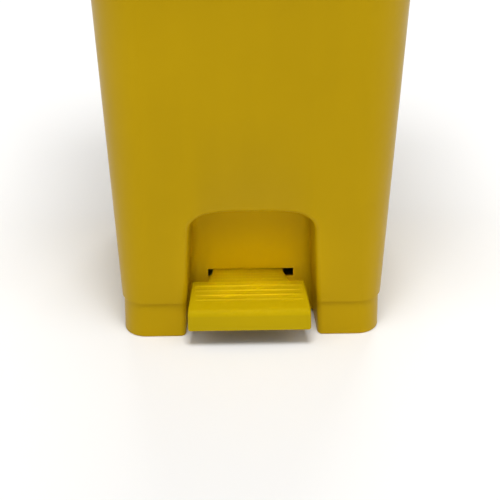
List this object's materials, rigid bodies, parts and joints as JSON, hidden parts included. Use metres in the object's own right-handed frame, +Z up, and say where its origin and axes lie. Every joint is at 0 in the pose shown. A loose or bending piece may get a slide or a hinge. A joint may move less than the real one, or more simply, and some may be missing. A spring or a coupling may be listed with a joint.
{
  "type": "pedal waste bin",
  "caption": "Tapered rectangular plastic pedal bin with a raised floor, a foot recess, a domed lid and a lever and rod that lift the lid when the pedal is pressed.",
  "frame": {"origin": "centre of the overall box on the floor, under the middle of the bin", "axes": "+Z up, +X to the right seen from the front, the pedal and the front face -Y"},
  "size_m": [0.404, 0.392, 0.606],
  "materials": {
    "tub_plastic": "semi-gloss moulded polypropylene",
    "pedal_plastic": "semi-gloss moulded polypropylene",
    "lid_plastic": "semi-gloss moulded polypropylene",
    "cover_plastic": "semi-gloss moulded polypropylene",
    "ring_plastic": "matte moulded polypropylene",
    "nylon": "matte black nylon",
    "zinc_steel": "zinc-plated",
    "spring_steel": "zinc-plated",
    "rubber": "matte"
  },
  "bodies": {
    "tub": {"body_shell": "tub_plastic", "channel_cover": "cover_plastic", "channel_cover_screws": "zinc_steel", "rod_guide_lower": "nylon", "rod_guide_upper": "nylon", "rod_guide_screws": "zinc_steel", "pedal_axle": "zinc_steel", "axle_bush_left": "nylon", "axle_bush_right": "nylon", "axle_clip_left": "spring_steel", "axle_clip_right": "spring_steel", "hinge_pin": "zinc_steel", "hinge_clip_left": "spring_steel", "hinge_clip_right": "spring_steel", "bag_ring": "ring_plastic"},
    "pedal_lever": {"pedal": "pedal_plastic", "lift_lever": "zinc_steel", "lever_screws": "zinc_steel"},
    "rod": {"lift_rod": "zinc_steel", "rod_clip_lower": "spring_steel", "rod_clip_upper": "spring_steel"},
    "lid": {"lid": "lid_plastic", "lid_bumpers": "rubber"}
  },
  "joints": [
    {"name": "lid_hinge", "type": "hinge", "parent": "tub", "child": "lid", "pos_m": [0, 0.18801, 0.57], "axis": [-1, 0, 0], "range_deg": [0, 75]},
    {"name": "pedal_press", "type": "hinge", "parent": "tub", "child": "pedal_lever", "pos_m": [0, -0.062, 0.05], "axis": [1, 0, 0], "range_deg": [0, 9.8]},
    {"name": "rod_lift", "type": "slide", "parent": "tub", "child": "rod", "axis": [0, 0.0624, 0.9981], "range_m": [0, 0.03331]}
  ],
  "couplings": [
    {"joint": "pedal_press", "follows": "lid_hinge", "ratio": 0.13067},
    {"joint": "rod_lift", "follows": "lid_hinge", "m_per_rad": 0.025449}
  ]
}
